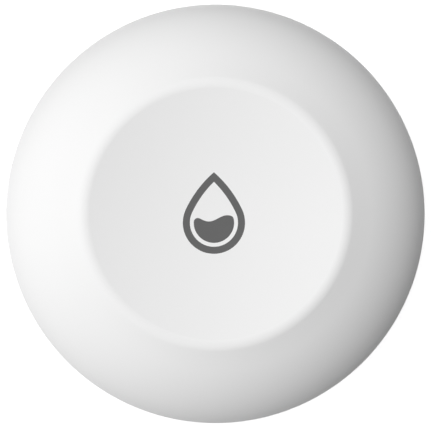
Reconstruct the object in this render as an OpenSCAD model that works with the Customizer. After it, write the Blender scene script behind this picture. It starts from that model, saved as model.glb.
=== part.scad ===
// Water leak sensor: a round pebble that stands on the floor and reports water between its two probes.
// Millimetres, +Z up. The origin is on the floor under the centre, and the symbol's tip points to +Y.

/* [Body] */
// Diameter at the seam, where the body is widest
body_d = 50; // [45:0.5:60]
// Height of the crest that runs round the dish
body_h = 15; // [14.5:0.5:20]
// Height of the seam between the cover and the base
seam_h = 5; // [4.8:0.1:6]
// Wall of the cover
cover_wall = 1.8; // [1.2:0.1:2]
// Extra thickness of the cover's lower rim, inside its wall
rim_extra = 0.5; // [0.4:0.1:0.9]
// Bevel on each side of the seam
seam_bevel = 0.2; // [0.1:0.05:0.4]

/* [Dish and button] */
// Radius of the crest round the dish
crest_r = 15.4; // [14.5:0.1:17]
// Rounding over the crest
crest_round = 2.1; // [1.9:0.1:3]
// How much steeper the flank outside the crest is than a plain dome's would be, in degrees
flank_extra = 5.6; // [0:0.2:8]
// Slope of the dish at its edge, in degrees
dish_slope = 11; // [6:1:13]
// Radius of the stiff pad in the middle of the dish
pad_r = 12.4; // [9:0.2:13]
// Thickness of the pad
pad_t = 1.2; // [0.8:0.1:1.6]
// Least thickness of the soft web round the pad
web_t = 0.6; // [0.4:0.1:0.8]
// Diameter of the post under the pad
post_d = 3.2; // [2:0.2:4]
// Travel of the button
press_travel = 0.3; // [0.2:0.05:0.4]

/* [Symbol] */
// Place of the symbol to the right of the dish's middle
symbol_x = -0.17; // [-1:0.01:1]
// Place of the symbol behind the dish's middle
symbol_y = 0.09; // [-1:0.01:1]
// Height of the drop
drop_h = 9.7; // [8:0.1:12]
// Width of the drop
drop_w = 7.4; // [6:0.1:7.8]
// Width of the drop's line
drop_line = 0.84; // [0.5:0.02:1]
// Bow of the drop's sides, where 1 is straight
drop_bow = 0.66; // [0.5:0.02:0.96]
// Gap between the line and the pool inside it
pool_gap = 0.46; // [0.3:0.02:0.8]
// Height of the pool's waves, from their middle to their top
pool_wave = 0.37; // [0.1:0.01:0.5]
// Length of the pool's waves
pool_wave_l = 4.4; // [3:0.1:6]
// Distance of the waves' trough from the drop's middle
pool_trough = 0.6; // [0:0.05:0.8]
// Height of the waves' trough over the middle of the drop's round
pool_lift = 0.15; // [0:0.05:0.4]
// Rounding of the pool's corners
pool_round = 0.5; // [0.1:0.05:0.6]
// Depth of the symbol in the pad
symbol_t = 0.15; // [0.1:0.05:0.3]

/* [Base and feet] */
// Height of the feet, which is the gap under the base
foot_h = 0.6; // [0.4:0.1:1]
// Diameter of each foot
foot_d = 4.4; // [4.2:0.2:5.2]
// Bevel of a foot's lower edge
foot_bevel = 0.2; // [0.1:0.05:0.3]
// Length of the plug that holds a foot in its screw pocket
plug_h = 0.5; // [0.2:0.1:0.6]
// Thickness of the base's floor
floor_t = 2.6; // [2.5:0.1:3]
// How far the base's lower edge is rounded in from its side
edge_in = 4; // [3:0.2:4.2]
// Wall of the battery well
well_wall = 1.6; // [1:0.1:1.8]
// Height of the spigot that stands in the cover
spigot_h = 1.8; // [1:0.1:2]
// Thickness of the spigot
spigot_t = 1.1; // [0.9:0.1:1.6]
// Width of the gasket in the seam
gasket_w = 1.1; // [0.7:0.1:1.2]
// Thickness of the gasket in the seam
gasket_t = 0.9; // [0.5:0.1:1.2]

/* [Probes] */
// Diameter of a probe's shank
probe_d = 2.2; // [2:0.1:2.6]
// Diameter of a probe's head
probe_head_d = 3.6; // [3.2:0.1:4.2]
// Height of a probe's head
probe_head_h = 1.4; // [1.2:0.1:1.6]
// Bevel of a probe's head
probe_bevel = 0.35; // [0.2:0.05:0.5]
// Height of a probe's head above the floor
probe_lift = 0.25; // [0.1:0.05:0.35]
// Thickness of the seal on a probe
probe_seal_t = 0.5; // [0.3:0.1:0.7]
// Diameter of the standoff that a probe screws into
standoff_d = 3.6; // [3.2:0.1:4.4]
// Diameter of the standoff's tail in the board
tail_d = 2; // [1.6:0.1:2.4]
// Length of the standoff's tail above the board
tail_rise = 0.5; // [0.3:0.1:0.8]
// Metal left in the standoff above the probe's hole
standoff_roof = 0.5; // [0.3:0.1:0.8]

/* [Screws] */
// Diameter of a housing screw's shank
screw_d = 1.8; // [1.4:0.1:2]
// Diameter of a housing screw's head
screw_head_d = 3.2; // [2.6:0.1:3.4]
// Height of a housing screw's head
screw_head_h = 1; // [0.8:0.1:1.1]
// Length of a housing screw under its head
screw_l = 7; // [5:0.5:8]
// Thickness of the floor that a housing screw clamps
screw_floor = 0.8; // [0.6:0.1:0.9]
// Diameter of the cover's screw bosses
boss_d = 3.6; // [3.2:0.1:4.6]
// Length of the cross recess in screws and probes
recess_l = 2.1; // [1.4:0.1:2.4]
// Width of the cross recess
recess_w = 0.55; // [0.4:0.05:0.7]
// Depth of the cross recess
recess_t = 0.6; // [0.4:0.05:0.7]

/* [Coin cell] */
// Diameter of the cell
cell_d = 20; // [16:0.5:20.5]
// Height of the cell
cell_h = 3.2; // [2.5:0.1:3.6]
// Sheet of the cell's can and cap
can_t = 0.3; // [0.2:0.05:0.4]
// Distance from the can's side to the cap's side
cap_inset = 1.1; // [0.8:0.1:1.5]
// Space round the cell for the side contacts
clip_space = 0.9; // [0.8:0.1:1.5]
// Width of a side contact, in degrees
clip_arc = 36; // [20:1:50]
// Reach of a side contact's tab on the board
clip_tab = 1.5; // [1:0.1:2]
// Space over the cell for the contact leaf
leaf_space = 1; // [0.8:0.1:1.4]
// Width of the contact leaf
leaf_w = 3; // [2:0.5:4]
// Length of each of the leaf's bends
leaf_run = 3; // [2:0.1:3.5]
// Thickness of the contacts' sheet metal
contact_t = 0.25; // [0.15:0.05:0.35]

/* [Battery door] */
// Thickness of the door's edge
door_t = 1.3; // [1.2:0.1:1.4]
// Extra thickness of the door's middle
door_extra = 0.4; // [0.2:0.1:0.6]
// Bevel of the door's edge
door_bevel = 0.2; // [0.1:0.05:0.4]
// Thickness of the door's collar
collar_t = 1; // [0.8:0.1:1.3]
// Reach of the lugs on the collar
lug_reach = 1.1; // [1:0.1:1.6]
// Thickness of the lugs and of the ledges that hold them
lug_t = 1.1; // [0.9:0.05:1.2]
// Width of a lug, in degrees
lug_arc = 24; // [16:1:30]
// Width of a ledge, in degrees
ledge_arc = 44; // [30:1:50]
// Distance that the door draws out while it turns
door_draw = 0.8; // [0.4:0.1:1]
// Width of the land that the door's seal presses on
seal_land = 1.5; // [1.4:0.1:1.7]
// Width of the door's seal
seal_w = 0.8; // [0.6:0.1:0.9]
// Depth of the seal's groove in the door
groove_t = 0.6; // [0.4:0.1:0.7]
// Height of the seal above the door's edge
seal_rise = 0.2; // [0.1:0.05:0.3]
// Diameter of the cushion under the cell
cushion_d = 14; // [8:0.5:18]
// Thickness of the cushion under the cell
cushion_t = 0.3; // [0.2:0.1:0.6]
// Length of the coin slot
slot_l = 12; // [8:0.5:16]
// Width of the coin slot
slot_w = 2; // [1.6:0.1:2.6]
// Depth of the coin slot
slot_t = 1; // [0.6:0.1:1.1]
// Width of the marks for the door's two positions
mark_w = 1.4; // [1:0.1:1.6]
// Length of the arrowhead on the door
arrow_l = 2.2; // [1.6:0.1:2.6]
// Width of the line of the open position's ring
mark_line = 0.3; // [0.2:0.05:0.4]
// Depth of the marks
mark_t = 0.2; // [0.1:0.05:0.3]

/* [Switch] */
// Side of the switch
switch_w = 5.2; // [4.6:0.2:6]
// Height of the switch's body
switch_h = 1.6; // [1.5:0.1:1.8]
// Floor of the switch's body
switch_floor = 0.3; // [0.2:0.05:0.35]
// Roof of the switch's body
switch_roof = 0.4; // [0.3:0.05:0.45]
// Diameter of the snap dome
snap_d = 3.4; // [3:0.1:3.8]
// Sheet of the snap dome
snap_t = 0.1; // [0.05:0.01:0.15]
// Height that the snap dome and the stem keep when the switch is pressed
snap_left = 0.15; // [0.1:0.05:0.2]
// Diameter of the switch's stem
stem_d = 2.3; // [1.8:0.1:2.6]
// Side of a leg's pad
leg_w = 0.8; // [0.5:0.1:1]
// Thickness of the legs
leg_t = 0.2; // [0.1:0.05:0.3]

/* [Board] */
// Thickness of the circuit board
board_t = 1; // [0.8:0.1:1.2]
// Side of the radio chip
chip_w = 6; // [4:0.5:7]
// Height of the radio chip
chip_h = 0.9; // [0.6:0.1:1.2]
// Length of the crystal
crystal_l = 3.2; // [2:0.1:4]
// Width of the crystal
crystal_w = 2.5; // [1.6:0.1:3]
// Height of the crystal
crystal_h = 0.7; // [0.5:0.1:1]
// Length of a capacitor
capacitor_l = 1.2; // [0.8:0.1:1.6]
// Width and height of a capacitor
capacitor_w = 0.6; // [0.3:0.1:0.8]
// Length of the status light
light_l = 1.6; // [1:0.1:2]
// Width of the status light
light_w = 0.8; // [0.5:0.1:1.2]
// Height of the status light
light_h = 0.6; // [0.4:0.1:1]
// Width of the antenna's track
track_w = 0.6; // [0.4:0.1:1]
// Thickness of the antenna's track
track_t = 0.1; // [0.05:0.05:0.2]
// Length of the antenna's long runs
track_l = 4.6; // [3:0.2:6]
// Distance between the antenna's long runs
track_pitch = 3.2; // [2:0.2:3.6]

/* [Fits] */
// Gap between pieces that slide or turn past each other
slide_gap = 0.3; // [0.25:0.05:0.35]
// Gap between the door's edge and the base
door_gap = 0.2; // [0.1:0.05:0.3]
// Gap round pieces that pass through or stand in others
loose_gap = 0.15; // [0.1:0.05:0.2]
// Gap round pieces that are pushed into place
push_gap = 0.05; // [0.02:0.01:0.1]
// Gap between pieces that bear on each other
bear_gap = 0.02; // [0.01:0.01:0.05]

/* [Hidden] */
$fn = 96;
// Angle between the points of a curve, and overlap of a cut past the face that it opens
arc_step = 3;
cut = 0.5;
screw_angles = [45 : 90 : 315];
probe_angles = [0, 180];
lug_count = 3;
lug_pitch = 360 / lug_count;
// The door turns half a pitch, between two marks on either side of the front
door_turn = lug_pitch / 2;
shut_angle = 270 + door_turn / 2;
open_angle = shut_angle - door_turn;
// Places on the board, from its centre
chip_at = [-8, 5];
crystal_at = [-8, -2.5];
light_at = [0, -6];
antenna_at = [10, 0];
capacitor_at = [-4.5, 10];
capacitor_pitch = 2;

// Points of an arc from angle a to angle b, without the first one
function arc(centre, r, a, b, step = arc_step) =
    let (n = max(2, ceil(abs(b - a) / step)))
    [for (i = [1 : n]) let (t = a + (b - a) * i / n) centre + r * [cos(t), sin(t)]];
// The place between low and high where a rising function is nought
function root(f, low, high, n = 40) =
    let (mid = (low + high) / 2)
    n == 0 ? mid : f(mid) > 0 ? root(f, low, mid, n - 1) : root(f, mid, high, n - 1);
function reverse(list) = [for (i = [len(list) - 1 : -1 : 0]) list[i]];
function degrees(length, r) = length / r * 180 / PI;

// A plain dome would be half an ellipse on the seam that touches the crest's rounding at one slope
body_r = body_d / 2;
function touch_r(slope) = crest_r + crest_round * sin(slope);
function touch_z(slope) = body_h - crest_round * (1 - cos(slope));
function dome_angle(slope) = acos(touch_r(slope) / body_r);
function dome_rise(slope) = (touch_z(slope) - seam_h) / sin(dome_angle(slope));
plain_slope = root(function (s) tan(s) - dome_rise(s) / body_r / tan(dome_angle(s)), 1, 60);
// The flank is steeper and straight, from the crest's rounding down to a lower ellipse that it touches
flank_slope = plain_slope + flank_extra;
function flank_angle(rise) = atan(rise / body_r / tan(flank_slope));
function flank_top(rise) =
    let (t = flank_angle(rise))
    seam_h + rise * sin(t) + (body_r * cos(t) - touch_r(flank_slope)) * tan(flank_slope);
dome_h = root(function (rise) flank_top(rise) - touch_z(flank_slope), 1, body_d);
dome_top = flank_angle(dome_h);
// Point of the dome at one angle, moved in by a depth
function dome_point(t, depth) =
    let (n = [cos(t) / body_r, sin(t) / dome_h])
    [body_r * cos(t), seam_h + dome_h * sin(t)] - depth * n / norm(n);
function dome_arc(depth, from) =
    let (n = ceil((dome_top - from) / arc_step))
    [for (i = [0 : n]) dome_point(from + (dome_top - from) * i / n, depth)];
crest = [crest_r, body_h - crest_round];
function crest_arc(depth) = arc(crest, crest_round - depth, 90 - flank_slope, 90 + dish_slope);

// The dish is part of a ball over it, and its pad and web are cut along the ball's rays
dish_edge = crest_r - crest_round * sin(dish_slope);
dish_ball = dish_edge / sin(dish_slope);
ball_z = crest[1] + (crest_round + dish_ball) * cos(dish_slope);
dish_z = ball_z - dish_ball;
pad_slope = asin(pad_r / dish_ball);
function under_dish(slope, depth) = [0, ball_z] + (dish_ball + depth) * [sin(slope), -cos(slope)];

// Radii of the battery well, from the cell outwards
cell_r = cell_d / 2;
cap_r = cell_r - cap_inset;
collar_in = cell_r + clip_space;
collar_out = collar_in + collar_t;
lug_out = collar_out + lug_reach;
ledge_in = collar_out + slide_gap;
well_r = lug_out + slide_gap;
well_out = well_r + well_wall;
seat_r = well_r + seal_land;
door_r = seat_r - door_gap;
seal_in = (well_r + door_r - seal_w) / 2;
seal_out = seal_in + seal_w;

// Radii of the rim, from the outside inwards
land_r = body_r - cover_wall - rim_extra;
land_angle = root(function (t) land_r - dome_point(t, cover_wall)[0], 0, dome_top);
spigot_out = land_r - loose_gap;
spigot_in = spigot_out - spigot_t;
gasket_in = (land_r + body_r - seam_bevel - gasket_w) / 2;
gasket_out = gasket_in + gasket_w;
board_r = spigot_in - slide_gap;
ring_r = (seat_r + spigot_in) / 2;

// Heights, from the floor up
floor_z = foot_h + floor_t;
screw_seat = floor_z - screw_floor;
probe_top = probe_lift + probe_head_h;
probe_seat = probe_top + probe_seal_t;
door_edge = foot_h + door_t;
groove_z = door_edge - groove_t;
seat_z = door_edge + seal_rise;
ledge_z = seat_z + lug_t;
lug_z = ledge_z + lug_t;
collar_top = lug_z + lug_t;
door_top = door_edge + door_extra;
cell_z = door_top + cushion_t + bear_gap;
cell_top = cell_z + cell_h;
board_z = cell_top + leaf_space;
board_top = board_z + board_t;
snap_z = board_top + switch_floor;
snap_rise = press_travel + snap_left;
switch_top = board_top + switch_h;
stem_top = switch_top + press_travel + snap_left;
// Climb of the lugs and ledges along their ring
ramp = atan(door_draw / (door_turn * PI / 180 * (ledge_in + lug_out) / 2));

// Sizes of the drop: a round, two bowed sides that leave it at one angle, and a tip
drop_r = drop_w / 2;
drop_centre = [0, drop_r - drop_h / 2];
tip_rise = drop_h - drop_r;
side_angle = drop_bow * asin(drop_r / tip_rise);
side_offset = (tip_rise * tip_rise - drop_r * drop_r) / (2 * (drop_r - tip_rise * sin(side_angle)));
side_centre = drop_centre - side_offset * [cos(side_angle), sin(side_angle)];
side_r = drop_r + side_offset;
pool_r = drop_r - drop_line - pool_gap;

module tube(z, h, r_in, r_out) {
    translate([0, 0, z]) difference() {
        cylinder(h = h, r = r_out);
        translate([0, 0, -cut]) cylinder(h = h + 2 * cut, r = r_in);
    }
}

module disc(z, h, d) {
    translate([0, 0, z]) cylinder(h = h, d = d);
}

// Upright cylinder from the height z to the height top
module rod(z, top, d) {
    translate([0, 0, z]) cylinder(h = top - z, d = d);
}

// Part of a ring, centred on +X
module ring_sector(width, z, h, r_in, r_out) {
    rotate(-width / 2) rotate_extrude(angle = width) translate([r_in, z]) square([r_out - r_in, h]);
}

// Children at places on the ring that lies round the battery well
module on_ring(angles) {
    for (a = angles) rotate(a) translate([ring_r, 0, 0]) children();
}

// Box on the board, centred at one place
module on_board(at, size) {
    translate([at[0] - size[0] / 2, at[1] - size[1] / 2, board_top]) cube(size);
}

// Two crossing slots, cut up into a head that starts at the height z
module cross_recess(z) {
    for (a = [0, 90]) rotate(a)
        translate([-recess_l / 2, -recess_w / 2, z - cut]) cube([recess_l, recess_w, recess_t + cut]);
}

module top_cover() {
    color("white") difference() {
        union() {
            rotate_extrude() polygon(concat(
                [[body_r - seam_bevel, seam_h], [body_r, seam_h + seam_bevel]],
                [for (p = dome_arc(0, 0)) if (p[1] > seam_h + seam_bevel) p],
                crest_arc(0),
                reverse(crest_arc(cover_wall)),
                reverse(dome_arc(cover_wall, land_angle)),
                [[land_r, seam_h]]));
            intersection() {
                on_ring(screw_angles) disc(floor_z, body_h, boss_d);
                rotate_extrude() polygon(concat(
                    [[0, 0], [land_r, 0]], dome_arc(cover_wall / 2, land_angle), crest_arc(cover_wall / 2),
                    [[0, body_h]]));
            }
        }
        on_ring(screw_angles) rod(floor_z - cut, screw_seat + screw_l + cut, screw_d + 2 * push_gap);
    }
}

// Soft ring between the pad and the cover: as thick as each where it joins them, and thin between
module flex_web() {
    n = 12;
    function slope(i) = pad_slope + (dish_slope - pad_slope) * i / n;
    function thickness(i) =
        let (thin = (1 - cos(360 * i / n)) / 2)
        (1 - thin) * (pad_t + (cover_wall - pad_t) * i / n) + thin * web_t;
    color("whitesmoke") rotate_extrude() polygon(concat(
        [for (i = [0 : n]) under_dish(slope(i), 0)],
        [for (i = [n : -1 : 0]) under_dish(slope(i), thickness(i))]));
}

// Layer of the dish between two depths, out to one slope
module dish_layer(top, bottom, slope) {
    reach = 2 * (dish_ball + bottom);
    rotate_extrude() intersection() {
        polygon([[0, ball_z], [0, ball_z - reach], [reach * tan(slope), ball_z - reach]]);
        translate([0, ball_z]) difference() {
            circle(dish_ball + bottom);
            circle(dish_ball + top);
        }
    }
}

module press_pad() {
    post_z = stem_top + bear_gap;
    color("white") difference() {
        union() {
            dish_layer(0, pad_t, pad_slope - degrees(bear_gap, dish_ball));
            rod(post_z, dish_z - pad_t / 2, post_d);
        }
        symbol_solids(-symbol_t);
    }
}

// Outline of the drop, moved in by an inset
function drop_outline(inset) =
    let (r = drop_r - inset, big_r = side_r - inset)
    let (right = concat(
        arc(side_centre, big_r, acos(-side_centre[0] / big_r), side_angle),
        arc(drop_centre, r, side_angle, -90)))
    let (tip = [0, side_centre[1] + sqrt(big_r * big_r - side_centre[0] * side_centre[0])])
    concat([tip], right, [for (i = [len(right) - 2 : -1 : 0]) [-right[i][0], right[i][1]]]);

module pool_shape() {
    function wave(x) = pool_lift + pool_wave * (1 - cos(360 * (x + pool_trough) / pool_wave_l));
    translate(drop_centre) offset(r = pool_round) offset(r = -pool_round) intersection() {
        circle(pool_r);
        polygon(concat(
            [[pool_r, -pool_r], [-pool_r, -pool_r]],
            [for (i = [-10 : 10]) let (x = pool_r * i / 10) [x, wave(x)]]));
    }
}

// The symbol's two solids, from a depth under the dish's surface down to the symbol's own depth
module symbol_solids(top) {
    intersection() {
        translate([symbol_x, symbol_y, dish_z - symbol_t - cut]) linear_extrude(body_h) {
            difference() {
                polygon(drop_outline(0));
                polygon(drop_outline(drop_line));
            }
            pool_shape($fn = 48);
        }
        dish_layer(top, symbol_t, pad_slope);
    }
}

module drop_symbol() {
    color("dimgray") symbol_solids(0);
}

// The space over or under a plane that climbs towards +Y as the door's lugs do
module ramp_space(z, over) {
    translate([0, 0, z]) rotate([ramp, 0, 0])
        translate([0, -body_r, over ? 0 : -body_h]) cube([body_r, body_d, body_h]);
}

module base_shell() {
    spigot_top = seam_h + spigot_h;
    mark_r = seat_r + mark_w;
    lower_edge = [for (t = [90 : -arc_step : 0])
        [body_r - edge_in + edge_in * cos(t), seam_h - (seam_h - foot_h) * sin(t)]];
    color("white") difference() {
        union() {
            rotate_extrude() polygon(concat(
                [[seat_r, foot_h]],
                [for (p = lower_edge) if (p[1] < seam_h - seam_bevel) p],
                [[body_r, seam_h - seam_bevel], [body_r - seam_bevel, seam_h]],
                [[gasket_out + push_gap, seam_h], [gasket_out + push_gap, seam_h - gasket_t]],
                [[gasket_in - push_gap, seam_h - gasket_t], [gasket_in - push_gap, seam_h]],
                [[spigot_out, seam_h], [spigot_out, spigot_top - seam_bevel]],
                [[spigot_out - seam_bevel, spigot_top], [spigot_in, spigot_top], [spigot_in, floor_z]],
                [[well_out, floor_z], [well_out, board_z], [well_r, board_z]],
                [[well_r, seat_z], [seat_r, seat_z]]));
            for (i = [1 : lug_count]) rotate(i * lug_pitch) intersection() {
                ring_sector(ledge_arc, ledge_z, 2 * lug_t, ledge_in, well_r + well_wall / 2);
                ramp_space(lug_z - 2 * push_gap, false);
            }
        }
        on_ring(probe_angles) {
            rod(foot_h - cut, probe_seat, probe_head_d + 2 * loose_gap);
            rod(foot_h - cut, floor_z + cut, probe_d + 2 * push_gap);
        }
        on_ring(screw_angles) {
            rod(foot_h - cut, screw_seat, screw_head_d + 2 * slide_gap);
            rod(foot_h - cut, floor_z + cut, screw_d + 2 * loose_gap);
        }
        // A dot where the door is shut and a ring where it opens
        rotate(shut_angle) translate([mark_r, 0, 0]) rod(foot_h - cut, foot_h + mark_t, mark_w);
        rotate(open_angle) translate([mark_r, 0, 0])
            tube(foot_h - cut, mark_t + cut, mark_w / 2 - mark_line, mark_w / 2);
    }
}

module housing_gasket() {
    color("lightgray") tube(seam_h - gasket_t, gasket_t, gasket_in, gasket_out);
}

module case_screws() {
    head_z = screw_seat - screw_head_h;
    color("silver") on_ring(screw_angles) difference() {
        union() {
            disc(head_z, screw_head_h, screw_head_d);
            disc(head_z, screw_head_h + screw_l, screw_d);
        }
        cross_recess(head_z);
    }
}

module foot_pads() {
    foot_r = foot_d / 2;
    plug_r = screw_head_d / 2 + slide_gap - push_gap;
    plug_top = foot_h + plug_h;
    color("gainsboro") on_ring(screw_angles) rotate_extrude() polygon([
        [0, 0], [foot_r - foot_bevel, 0], [foot_r, foot_bevel], [foot_r, foot_h],
        [plug_r, foot_h], [plug_r, plug_top], [0, plug_top]]);
}

module probe() {
    head_r = probe_head_d / 2;
    tip_z = board_z - 2 * standoff_roof;
    color("silver") difference() {
        rotate_extrude() polygon([
            [0, probe_lift], [head_r - probe_bevel, probe_lift], [head_r, probe_lift + probe_bevel],
            [head_r, probe_top], [probe_d / 2, probe_top], [probe_d / 2, tip_z], [0, tip_z]]);
        cross_recess(probe_lift);
    }
}

module left_probe() {
    on_ring([180]) probe();
}

module right_probe() {
    on_ring([0]) probe();
}

module probe_seals() {
    color("dimgray") on_ring(probe_angles)
        tube(probe_top, probe_seal_t, probe_d / 2 + push_gap, probe_head_d / 2);
}

module probe_standoffs() {
    color("goldenrod") on_ring(probe_angles) difference() {
        union() {
            rod(floor_z, board_z, standoff_d);
            rod(floor_z, board_top + tail_rise, tail_d);
        }
        rod(floor_z - cut, board_z - standoff_roof, probe_d + 2 * bear_gap);
    }
}

module circuit_board() {
    notch_w = boss_d + 2 * slide_gap;
    color("seagreen") difference() {
        disc(board_z, board_t, 2 * board_r);
        // Notches for the cover's bosses, open at the board's edge
        on_ring(screw_angles) {
            rod(board_z - cut, board_top + cut, notch_w);
            translate([0, -notch_w / 2, board_z - cut]) cube([body_r, notch_w, board_t + 2 * cut]);
        }
        on_ring(probe_angles) rod(board_z - cut, board_top + cut, tail_d + 2 * push_gap);
    }
}

module radio_chip() {
    color("dimgray") on_board(chip_at, [chip_w, chip_w, chip_h]);
}

module crystal() {
    color("silver") on_board(crystal_at, [crystal_l, crystal_w, crystal_h]);
}

module status_led() {
    color("ivory") on_board(light_at, [light_l, light_w, light_h]);
}

// Two rows of capacitors beside the radio chip
module chip_capacitors() {
    side_at = [chip_at[0] - chip_w / 2 - capacitor_l, chip_at[1]];
    color("tan") for (i = [0 : 2]) {
        on_board(capacitor_at + i * [capacitor_pitch, 0], [capacitor_l, capacitor_w, capacitor_w]);
        on_board(side_at + (i - 1) * [0, capacitor_pitch], [capacitor_w, capacitor_l, capacitor_w]);
    }
}

// Meandering printed track near the board's edge
module antenna() {
    runs = 5;
    color("peru") for (i = [0 : runs - 1]) {
        y = (i - (runs - 1) / 2) * track_pitch;
        turn_x = (track_l - track_w) / 2 * (i % 2 == 0 ? 1 : -1);
        on_board(antenna_at + [0, y], [track_l, track_w, track_t]);
        if (i < runs - 1)
            on_board(antenna_at + [turn_x, y + track_pitch / 2], [track_w, track_pitch, track_t]);
    }
}

module switch_body() {
    color("dimgray") difference() {
        on_board([0, 0], [switch_w, switch_w, switch_h]);
        rod(snap_z, switch_top - switch_roof, snap_d + 2 * loose_gap);
        rod(snap_z, switch_top + cut, stem_d + 2 * push_gap);
    }
}

module switch_legs() {
    color("silver") for (x = [-1, 1], y = [-1, 1])
        on_board([x * (switch_w + leg_w) / 2, y * (switch_w / 2 - leg_w)], [leg_w, leg_w, leg_t]);
}

// Shallow dome of sheet metal on the switch's floor
module switch_dome() {
    snap_r = snap_d / 2;
    ball = (snap_r * snap_r + snap_rise * snap_rise) / (2 * snap_rise);
    color("silver") translate([0, 0, snap_z]) rotate_extrude() intersection() {
        square([snap_r, snap_rise]);
        translate([0, snap_rise - ball]) difference() {
            circle(ball);
            circle(ball - snap_t);
        }
    }
}

module switch_stem() {
    flange_z = snap_z + snap_rise + bear_gap;
    color("ivory") {
        rod(flange_z, switch_top - switch_roof - bear_gap, snap_d);
        rod(flange_z, stem_top, stem_d);
    }
}

// Two bent strips that bear on the can's side, with tabs on the board
module positive_clips() {
    clip_in = cell_r + push_gap;
    clip_z = cell_top - cell_h / 2;
    color("silver") for (a = [90, 270]) rotate(a) {
        ring_sector(clip_arc, clip_z, board_z - clip_z, clip_in, clip_in + contact_t);
        ring_sector(clip_arc, board_z - contact_t, contact_t, clip_in, clip_in + clip_tab);
    }
}

// Bent strip from the board down to the cell's cap and up again at its end
module negative_leaf() {
    touch = cell_top + bear_gap + contact_t;
    upper = [[2 * leaf_run, board_z], [leaf_run, board_z], [0, touch], [-leaf_run / 2, touch],
        [-leaf_run, (touch + board_z) / 2]];
    lower = [for (p = reverse(upper)) p - [0, contact_t]];
    color("silver") rotate([90, 0, 0]) linear_extrude(leaf_w, center = true) polygon(concat(upper, lower));
}

module cell_can() {
    lip_z = cell_top - can_t;
    inner_r = cell_r - can_t;
    color("silver") rotate_extrude() polygon([
        [0, cell_z], [inner_r, cell_z], [cell_r, cell_z + can_t], [cell_r, lip_z - can_t],
        [inner_r, lip_z], [inner_r - can_t, lip_z], [inner_r, lip_z - can_t],
        [inner_r, cell_z + can_t], [0, cell_z + can_t]]);
}

module cell_gasket() {
    color("dimgray") tube(cell_z + can_t, cell_h - 3 * can_t, cap_r, cell_r - can_t);
}

module cell_core() {
    color("gray") disc(cell_z + can_t, cell_h - 2 * can_t, 2 * (cap_r - can_t));
}

module cell_cap() {
    inner_r = cap_r - can_t;
    skirt_z = cell_z + cell_h / 2;
    color("silver") rotate_extrude() polygon([
        [0, cell_top], [inner_r, cell_top], [cap_r, cell_top - can_t], [cap_r, skirt_z], [inner_r, skirt_z],
        [inner_r, cell_top - can_t], [0, cell_top - can_t]]);
}

module battery_door() {
    slot_r = (slot_l * slot_l / 4 + slot_t * slot_t) / (2 * slot_t);
    color("white") difference() {
        union() {
            rotate_extrude() polygon([
                [0, foot_h], [door_r - door_bevel, foot_h], [door_r, foot_h + door_bevel],
                [door_r, door_edge], [collar_out, door_edge], [collar_out, collar_top],
                [collar_in, collar_top], [collar_in, door_top], [0, door_top]]);
            for (i = [1 : lug_count]) rotate(i * lug_pitch) intersection() {
                ring_sector(lug_arc, ledge_z, collar_top - ledge_z, collar_in + collar_t / 2, lug_out);
                ramp_space(lug_z, true);
            }
        }
        tube(groove_z, groove_t + cut, seal_in - push_gap, seal_out + push_gap);
        translate([0, 0, foot_h + slot_t - slot_r]) rotate([90, 0, 0])
            cylinder(h = slot_w, r = slot_r, center = true);
        // An arrowhead that points at the base's marks
        rotate(shut_angle) translate([door_r - mark_w, 0, foot_h - cut]) linear_extrude(mark_t + cut)
            polygon([[0, 0], [-arrow_l, mark_w / 2], [-arrow_l, -mark_w / 2]]);
    }
}

module door_seal() {
    color("dimgray") tube(groove_z + bear_gap, seat_z - groove_z - 2 * bear_gap, seal_in, seal_out);
}

module cell_cushion() {
    color("gray") disc(door_top, cushion_t, cushion_d);
}

top_cover();
flex_web();
press_pad();
drop_symbol();
base_shell();
housing_gasket();
case_screws();
foot_pads();
left_probe();
right_probe();
probe_seals();
probe_standoffs();
circuit_board();
radio_chip();
crystal();
antenna();
chip_capacitors();
status_led();
switch_body();
switch_legs();
switch_dome();
switch_stem();
positive_clips();
negative_leaf();
cell_can();
cell_gasket();
cell_core();
cell_cap();
battery_door();
door_seal();
cell_cushion();
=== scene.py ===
import math

import bpy
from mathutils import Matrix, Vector


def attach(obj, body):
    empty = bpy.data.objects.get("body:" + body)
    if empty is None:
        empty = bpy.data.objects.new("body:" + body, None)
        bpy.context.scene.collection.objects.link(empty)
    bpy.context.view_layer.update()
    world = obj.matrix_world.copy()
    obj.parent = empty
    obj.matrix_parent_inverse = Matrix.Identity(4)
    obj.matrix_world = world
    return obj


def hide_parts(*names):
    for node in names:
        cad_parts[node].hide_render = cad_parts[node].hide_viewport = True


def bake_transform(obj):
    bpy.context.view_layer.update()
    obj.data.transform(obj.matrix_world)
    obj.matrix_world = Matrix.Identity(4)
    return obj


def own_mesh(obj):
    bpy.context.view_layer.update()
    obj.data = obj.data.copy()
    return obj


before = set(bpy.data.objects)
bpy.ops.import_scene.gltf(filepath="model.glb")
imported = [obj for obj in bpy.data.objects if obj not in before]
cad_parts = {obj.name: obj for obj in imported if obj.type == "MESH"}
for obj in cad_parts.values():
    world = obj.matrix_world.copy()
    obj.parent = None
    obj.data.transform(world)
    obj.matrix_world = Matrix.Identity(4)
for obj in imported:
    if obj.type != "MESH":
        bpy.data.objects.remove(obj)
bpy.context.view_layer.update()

# Lengths are in millimetres. A piece is modelled with one unit to the millimetre, then scaled to metres
MM = 0.001

# Vertices closer than this are merged
WELD = 0.0001

# The least by which a cutter, or a block that is added, goes past the face that it meets
CUT = 0.5

# Faces that meet at a smaller angle are shaded as one
SMOOTH_ANGLE = math.radians(30)

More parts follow.
